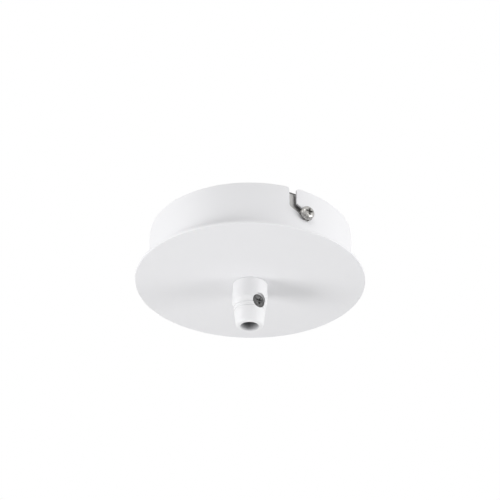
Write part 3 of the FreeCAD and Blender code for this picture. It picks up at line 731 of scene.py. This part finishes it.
def slot_outline():
    """The J-shaped opening seen from outside, as x and z: open leg, sloping leg and round closed end."""
    size = box_of("canopy_cup")[2]
    s = sizes()
    half = s.slot_width / 2
    turn = math.radians(JOINTS["canopy_turn"]["range_deg"][1])
    drop = JOINTS["canopy_drop"]["range_m"][1]
    closed_end = Vector((0, JOINTS["side_screw_front_turn"]["pos_m"][2]))
    bend = Vector((-(size.x - s.cup_wall) / 2 * math.sin(turn), closed_end.y + drop))
    slope = math.atan2(closed_end.y - bend.y, closed_end.x - bend.x)
    left, right = bend.x - half, bend.x + half
    quarter = math.pi / 2
    side = bend + half * Vector((math.cos(slope + quarter), math.sin(slope + quarter)))
    hook = side.y + (right - side.x) * math.tan(slope)
    points = [Vector((left - s.slot_lead, OVERCUT))]
    points += arc((left - s.slot_lead, -s.slot_lead), s.slot_lead, quarter, 0)
    points += arc(bend, half, math.pi, 2 * math.pi + slope - quarter)
    points += arc(closed_end, half, slope - quarter, slope + quarter)
    points += [Vector((right, hook))]
    points += arc((right + s.slot_lip, -s.slot_lip), s.slot_lip, math.pi, quarter)
    points += [Vector((right + s.slot_lip, OVERCUT))]
    return points


def machine_screw(name, node, axis, screw, recess):
    """A threaded screw in a node's stead, whose head points along the axis. The recess is a cutter that
    lies in a head whose top is at z = 0."""
    low, high, size = box_of(node)
    axis = Vector(axis)
    whole = abs(size.dot(axis))
    head_top = (low + high) / 2 + axis * whole / 2
    head_radius = min(side for side, part in zip(size, axis) if abs(part) < 0.5) / 2
    shank = screw.shank
    run_in = shank * 0.25
    tip, under = -whole, -screw.head
    outline = [(0, tip), (shank - run_in, tip), (shank, tip + run_in)]
    outline += thread_rows(shank, tip + run_in, under, screw.pitch)[1:]
    lower_edge = screw.crown * 0.12
    head = rounded([(0, under), (head_radius, under, lower_edge), (head_radius, 0, screw.crown), (0, 0)])
    outline += [tuple(point) for point in head[1:]]
    shape = turned(outline, SCREW_SEGMENTS, screw.pitch, screw.pitch * SCREW_THREAD)
    piece = solid(name, shape)
    carve(piece, [recess], RECESS_MARK)
    soften(piece, sizes().screw_edge, lambda middle: middle.z > under * 0.98)
    piece.data.transform(along(axis, head_top))
    seat(piece, node)


def cross_recess(reach, depth):
    """A cutter for a four-armed driver recess that narrows as it goes down."""
    arm = sizes().recess_arm / 2
    return solid("cutter", prism(cross(reach * 0.5, arm * 0.75), cross(reach * 1.04, arm * 1.05),
                                 -depth, depth * 0.1))


def slot_recess(head_radius, depth):
    """A cutter for a straight driver slot right across a head."""
    half = head_radius * SLOT_HALF
    reach = head_radius + OVERCUT
    bar = [(-reach, -half), (reach, -half), (reach, half), (-reach, half)]
    return solid("cutter", prism(bar, bar, -depth, OVERCUT))


def toothed_washer(name, node, axis):
    """A lock washer: a flat ring whose outer teeth are each twisted out of its plane."""
    low, high, size = box_of(node)
    axis = Vector(axis)
    thick = abs(size.dot(axis))
    outer = max(size) / 2
    hole, teeth = TOOTHED_WASHERS[node]
    inner = outer * hole
    root = inner + (outer - inner) * TOOTH_START
    flat = root * 0.98
    reaches = {"root": root, "neck": root * 1.02, "tip": outer}
    half = thick * RING_HALF
    twist = thick / 2 - half
    shape = bmesh.new()
    rings = []
    for tooth in range(teeth):
        for offset, where, lean in TOOTH:
            turn = 2 * math.pi * (tooth + offset - 0.5) / teeth
            reach, lift = reaches[where], lean * twist
            section = ((inner, -half), (flat, -half), (reach, lift - half),
                       (reach, lift + half), (flat, half), (inner, half))
            rings.append([shape.verts.new((out * math.cos(turn), out * math.sin(turn), up))
                          for out, up in section])
    for first, second in zip(rings, rings[1:] + rings[:1]):
        for index in range(len(first)):
            following = (index + 1) % len(first)
            shape.faces.new((first[index], second[index], second[following], first[following]))
    bmesh.ops.remove_doubles(shape, verts=shape.verts, dist=MERGE_DISTANCE)
    piece = solid(name, shape, along(axis, (low + high) / 2))
    soften(piece, thick * RING_EDGE, segments=1)
    seat(piece, node)


class ROSE_OT_face_disc(bpy.types.Operator):
    """The flat white disc, with a rounded rim"""

    bl_idname = "rose.face_disc"
    bl_label = "Face disc"
    bl_options = {"REGISTER", "UNDO"}

    def execute(self, context):
        s = sizes()
        low, high, size = box_of("face_disc")
        radius = size.x / 2
        outline = rounded([(tube_hole(), low.z), (radius, low.z, s.disc_edge),
                           (radius, high.z, s.disc_edge), (tube_hole(), high.z)])
        seat(solid("face_disc_painted", turned(outline, DISC_SEGMENTS)), "face_disc")
        return {"FINISHED"}


class ROSE_OT_canopy_cup(bpy.types.Operator):
    """The drawn cup with its two J-shaped slots"""

    bl_idname = "rose.canopy_cup"
    bl_label = "Canopy cup"
    bl_options = {"REGISTER", "UNDO"}

    def execute(self, context):
        s = sizes()
        low, high, size = box_of("canopy_cup")
        radius = size.x / 2
        inside = radius - s.cup_wall
        outline = rounded([(tube_hole(), low.z), (radius, low.z, s.cup_corner),
                           (radius, high.z, s.sheet_edge), (inside, high.z, s.sheet_edge),
                           (inside, low.z + s.cup_wall, s.cup_corner - s.cup_wall),
                           (tube_hole(), low.z + s.cup_wall)])
        cup = solid("canopy_cup_painted", turned(outline, CUP_SEGMENTS))
        path = slot_outline()
        start = -radius - OVERCUT
        depth = s.cup_wall + s.slot_width + OVERCUT
        cutters = []
        for turn in (0, math.pi):
            block = prism(path, path, start, start + depth, standing=False)
            cutters.append(solid("cutter", block, Matrix.Rotation(turn, 4, "Z")))
        carve(cup, cutters)
        soften(cup, s.sheet_edge)
        seat(cup, "canopy_cup")
        return {"FINISHED"}


class ROSE_OT_cord_grip(bpy.types.Operator):
    """The stepped and tapered grip with two fine seam lines and the clamp hole"""

    bl_idname = "rose.cord_grip"
    bl_label = "Cord grip"
    bl_options = {"REGISTER", "UNDO"}

    def execute(self, context):
        s = sizes()
        low, high, size = box_of("cord_grip_body")
        top, tip = high.z, low.z
        radius = size.x / 2
        nose_radius = radius - s.grip_step
        nose_top = s.grip_straight + s.grip_step_height

        def nose(depth):
            return nose_radius - math.tan(s.grip_taper) * (depth - nose_top)

        corners = [(radius, top, s.sheet_edge * 2), (radius, top - s.grip_straight, s.sheet_edge),
                   (nose_radius, top - nose_top, s.sheet_edge)]
        shoulder, root = s.seam_depth * 0.3, s.seam_depth * 0.15
        for middle in (s.seam_top, s.seam_top + s.seam_spacing):
            upper, lower = middle - s.seam_width / 2, middle + s.seam_width / 2
            corners += [(nose(upper), top - upper, shoulder),
                        (nose(middle) - s.seam_depth, top - middle, root),
                        (nose(lower), top - lower, shoulder)]
        bore = s.cord_bore / 2
        corners += [(nose(top - tip), tip, s.grip_tip), (bore, tip, s.cord_lip),
                    (bore, top - s.grip_socket), (tube_hole(), top - s.grip_socket), (tube_hole(), top)]
        grip = solid("cord_grip_moulded", turned(rounded(corners), GRIP_SEGMENTS))
        clamp = JOINTS["clamp_screw_turn"]
        outward = -Vector(clamp["axis"])
        tapped = box_of("clamp_screw")[2].z / 2 + s.thread_clearance
        origin = Vector(clamp["pos_m"])
        matrix = along(outward, origin)
        cutters = []
        for reach, start in ((tapped, 0), (s.clamp_mouth / 2, s.clamp_mouth_reach)):
            ring = circle(reach)
            cutters.append(solid("cutter", prism(ring, ring, start, radius + OVERCUT), matrix))
        carve(grip, cutters)

        def at_mouth(middle):
            out = (middle - origin).dot(outward)
            from_axis = middle - origin - out * outward
            on_rim = abs(from_axis.length - s.clamp_mouth / 2) < s.sheet_edge
            return on_rim and out > s.clamp_mouth_reach * 0.9

        soften(grip, s.sheet_edge, at_mouth)
        seat(grip, "cord_grip_body")
        return {"FINISHED"}


class ROSE_OT_clamp(bpy.types.Operator):
    """The blackened grub screw across the grip and its pad"""

    bl_idname = "rose.clamp"
    bl_label = "Clamp screw"
    bl_options = {"REGISTER", "UNDO"}

    def execute(self, context):
        s = sizes()
        axis = -Vector(JOINTS["clamp_screw_turn"]["axis"])
        low, high, size = box_of("clamp_screw")
        radius = size.z / 2
        spots = [vertex.co.dot(axis) for vertex in NODES["clamp_screw"].data.vertices]
        inner, outer = min(spots), max(spots)
        chamfer = radius * GRUB_CHAMFER
        whole = outer - inner
        outline = [(0, -whole), (radius - chamfer, -whole), (radius, -whole + chamfer)]
        outline += thread_rows(radius, -whole + chamfer, -chamfer, GRUB_PITCH)[1:]
        outline += [(radius - chamfer, 0), (0, 0)]
        shape = turned(outline, SCREW_SEGMENTS, GRUB_PITCH, GRUB_PITCH * GRUB_THREAD)
        grub = solid("clamp_screw_black", shape)
        carve(grub, [cross_recess(radius * GRUB_REACH, whole * GRUB_RECESS)])

        def on_top(middle):
            return middle.z > -chamfer * 0.9 or middle.xy.length < radius * 0.7

        soften(grub, s.sheet_edge * 0.5, on_top)
        centre = (low + high) / 2
        centre -= axis * centre.dot(axis)
        grub.data.transform(along(axis, centre + axis * outer))
        seat(grub, "clamp_screw")
        softened_copy("clamp_pad", "clamp_pad_moulded", s.sheet_edge * 0.5)
        return {"FINISHED"}


class ROSE_OT_side_fixings(bpy.types.Operator):
    """The pan-head screws in the slots, with toothed washers"""

    bl_idname = "rose.side_fixings"
    bl_label = "Side screws and washers"
    bl_options = {"REGISTER", "UNDO"}

    def execute(self, context):
        for side in SIDES:
            axis = JOINTS[f"side_screw_{side}_turn"]["axis"]
            head = box_of(f"side_screw_{side}")[2].x / 2
            machine_screw(f"side_screw_{side}_plated", f"side_screw_{side}", axis, SIDE_SCREW,
                          cross_recess(head * CROSS_REACH, SIDE_SCREW.recess))
            toothed_washer(f"side_washer_{side}_plated", f"side_washer_{side}", axis)
        return {"FINISHED"}


class ROSE_OT_ceiling_strap(bpy.types.Operator):
    """The bent strap with its tapped ears"""

    bl_idname = "rose.ceiling_strap"
    bl_label = "Ceiling strap"
    bl_options = {"REGISTER", "UNDO"}

    def execute(self, context):
        s = sizes()
        softened_copy("ceiling_bracket", "ceiling_strap_zinc", s.sheet_edge)
        return {"FINISHED"}


class ROSE_OT_tube_and_nut(bpy.types.Operator):
    """The threaded tube with its nut and toothed washer"""

    bl_idname = "rose.tube_and_nut"
    bl_label = "Threaded tube"
    bl_options = {"REGISTER", "UNDO"}

    def execute(self, context):
        s = sizes()
        low, high, size = box_of("threaded_tube")
        radius = size.x / 2
        bore, end = radius - TUBE_WALL, radius - THREAD_CHAMFER
        first, last = low.z + THREAD_CHAMFER, high.z - THREAD_CHAMFER
        outline = [(bore, low.z), (end, low.z), (radius, first)]
        outline += thread_rows(radius, first, last, TUBE_PITCH)[1:]
        outline += [(end, high.z), (bore, high.z)]
        shape = turned(outline, TUBE_SEGMENTS, TUBE_PITCH, TUBE_PITCH * TUBE_THREAD)
        seat(solid("threaded_tube_zinc", shape), "threaded_tube")
        softened_copy("tube_nut", "tube_nut_zinc", s.moulded_edge)
        toothed_washer("tube_washer_zinc", "tube_washer", (0, 0, 1))
        return {"FINISHED"}


class ROSE_OT_terminal_block(bpy.types.Operator):
    """The moulded block with its brass tubes and screws"""

    bl_idname = "rose.terminal_block"
    bl_label = "Terminal block"
    bl_options = {"REGISTER", "UNDO"}

    def execute(self, context):
        s = sizes()
        softened_copy("terminal_housing", "terminal_housing_moulded", s.moulded_edge)
        for pole in POLES:
            tube = f"terminal_tube_{pole}"
            softened_copy(tube, f"{tube}_brass", s.sheet_edge)
            for side in WIRE_SIDES:
                node = f"terminal_screw_{pole}_{side}"
                radius = box_of(node)[2].x / 2
                machine_screw(f"{node}_steel", node, DOWN, TERMINAL_SCREW,
                              slot_recess(radius, TERMINAL_SCREW.recess))
        for end in SIDES:
            node = f"block_screw_{end}"
            radius = box_of(node)[2].x / 2
            machine_screw(f"{node}_plated", node, DOWN, BLOCK_SCREW,
                          slot_recess(radius, BLOCK_SCREW.recess))
        return {"FINISHED"}


class ROSE_OT_earth_points(bpy.types.Operator):
    """The earth screw on the strap and the earth stud in the cup"""

    bl_idname = "rose.earth_points"
    bl_label = "Earth points"
    bl_options = {"REGISTER", "UNDO"}

    def execute(self, context):
        s = sizes()
        radius = box_of("strap_earth_screw")[2].x / 2
        machine_screw("strap_earth_screw_plated", "strap_earth_screw", DOWN, EARTH_SCREW,
                      cross_recess(radius * CROSS_REACH, EARTH_SCREW.recess))
        softened_copy("strap_earth_washer", "strap_earth_washer_zinc", s.sheet_edge)
        low, high, size = box_of("cup_earth_stud")
        foot = size.x / 2
        outline = [(0, 0), (foot, 0), (foot, STUD_FOOT), (STUD_SHANK, STUD_FOOT)]
        outline += thread_rows(STUD_SHANK, STUD_FOOT, size.z - THREAD_CHAMFER, STUD_PITCH)[1:]
        outline += [(STUD_SHANK - THREAD_CHAMFER, size.z), (0, size.z)]
        shape = turned(outline, SCREW_SEGMENTS, STUD_PITCH, STUD_PITCH * STUD_THREAD)
        centre = (low + high) / 2
        place = Matrix.Translation((centre.x, centre.y, low.z))
        seat(solid("cup_earth_stud_zinc", shape, place), "cup_earth_stud")
        softened_copy("cup_earth_washer", "cup_earth_washer_zinc", s.sheet_edge)
        softened_copy("cup_earth_nut", "cup_earth_nut_zinc", s.moulded_edge)
        return {"FINISHED"}


def camera_matrix():
    """Where the photograph was taken from, in the part's frame."""
    ahead = Vector((0, math.cos(CAMERA_PITCH), math.sin(CAMERA_PITCH)))
    level_right = Vector((1, 0, 0))
    level_up = level_right.cross(ahead)
    right = level_right * math.cos(CAMERA_ROLL) + level_up * math.sin(CAMERA_ROLL)
    up = level_up * math.cos(CAMERA_ROLL) - level_right * math.sin(CAMERA_ROLL)
    facing = Matrix((right, up, -ahead)).transposed().to_4x4()
    turn = Matrix.Rotation(CAMERA_AZIMUTH, 4, "Z")
    disc_face = Vector((0, 0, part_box("face_disc")[0].z))
    return Matrix.Translation(disc_face) @ turn @ Matrix.Translation(CAMERA_PLACE) @ facing


def lamp(name, direction, distance, size, watts):
    """A soft square lamp that shines at the disc from a direction seen from the camera."""
    turn = Matrix.Rotation(CAMERA_AZIMUTH, 3, "Z")
    outward = turn @ Vector(direction).normalized()
    target = Vector((0, 0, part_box("face_disc")[0].z))
    light = bpy.data.lights.new(name, "AREA")
    light.shape = "SQUARE"
    light.size = size
    light.energy = watts
    holder = bpy.data.objects.new(name, light)
    holder.location = target + outward * distance
    holder.rotation_mode = "QUATERNION"
    holder.rotation_quaternion = outward.to_track_quat("Z", "Y")
    bpy.context.scene.collection.objects.link(holder)


def pale_floor(studio):
    """A floor far below that looks nearly white and keeps the object's shadow."""
    half = studio.floor_size / 2
    shape = bmesh.new()
    corners = [shape.verts.new((x, y, -studio.floor_drop))
               for x, y in ((-half, -half), (half, -half), (half, half), (-half, half))]
    shape.faces.new(corners)
    floor = solid("floor", shape)
    pale = Finish("pale_floor")
    pale.surface(Base_Color=tuple(colours().floor), Roughness=0.9)
    glow = pale.node("ShaderNodeEmission", None, {"Color": WHITE})
    lit = Wire(pale.tree, pale.shader.outputs[0])
    paleness = pale.seen() * studio.floor_paleness
    mixed = pale.node("ShaderNodeMixShader", None, {0: paleness, 1: lit, 2: glow})
    connect(pale.tree, mixed, pale.tree.nodes["Material Output"].inputs["Surface"])
    floor.data.materials.append(pale.material)


def white_surroundings(studio):
    """An even light from all round, which looks plain white."""
    world = bpy.data.worlds.new("white_surroundings")
    world.use_nodes = True
    sky = Nodes(world.node_tree)
    strength = studio.surroundings + (1.0 - studio.surroundings) * sky.seen()
    white = sky.node("ShaderNodeBackground", None, {"Color": WHITE, "Strength": strength})
    connect(sky.tree, white, sky.tree.nodes["World Output"].inputs["Surface"])
    bpy.context.scene.world = world


class ROSE_OT_studio(bpy.types.Operator):
    """The camera, the lamps, the pale floor and the white surroundings"""

    bl_idname = "rose.studio"
    bl_label = "Studio"
    bl_options = {"REGISTER", "UNDO"}

    def execute(self, context):
        scene = context.scene
        studio = scene.rose_studio
        camera = bpy.data.objects.new("camera", bpy.data.cameras.new("camera"))
        camera.data.sensor_width = SENSOR_WIDTH
        camera.data.lens = CAMERA_FOCUS_PIXELS / PHOTO_PIXELS * SENSOR_WIDTH
        camera.matrix_world = camera_matrix()
        scene.collection.objects.link(camera)
        scene.camera = camera
        scene.view_settings.view_transform = "Standard"
        for name, (direction, distance, size) in LAMPS.items():
            lamp(name, direction, distance, size, getattr(studio, name))
        pale_floor(studio)
        white_surroundings(studio)
        return {"FINISHED"}


STEPS = (ROSE_OT_face_disc, ROSE_OT_canopy_cup, ROSE_OT_cord_grip, ROSE_OT_clamp, ROSE_OT_side_fixings,
         ROSE_OT_ceiling_strap, ROSE_OT_tube_and_nut, ROSE_OT_terminal_block, ROSE_OT_earth_points,
         ROSE_OT_studio)
GROUPS = {"rose_sizes": RoseSizes, "rose_colours": RoseColours, "rose_studio": RoseStudio}


class ROSE_PT_panel(bpy.types.Panel):
    """The ceiling rose's sizes, colours and steps"""

    bl_idname = "ROSE_PT_panel"
    bl_label = "Ceiling Rose"
    bl_space_type = "VIEW_3D"
    bl_region_type = "UI"
    bl_category = "Ceiling Rose"

    def draw(self, context):
        for step in STEPS:
            self.layout.operator(step.bl_idname)
        for group, kind in GROUPS.items():
            box = self.layout.box()
            box.label(text=kind.__doc__)
            for name in kind.__annotations__:
                box.prop(getattr(context.scene, group), name)


CLASSES = (*GROUPS.values(), *STEPS, ROSE_PT_panel)


def register():
    for kind in CLASSES:
        bpy.utils.register_class(kind)
    for group, kind in GROUPS.items():
        setattr(bpy.types.Scene, group, PointerProperty(type=kind))


def unregister():
    for group in GROUPS:
        delattr(bpy.types.Scene, group)
    for kind in reversed(CLASSES):
        bpy.utils.unregister_class(kind)


def main():
    register()
    for step in STEPS:
        getattr(bpy.ops.rose, step.bl_idname.split(".")[1])()


if __name__ == "__main__":
    main()
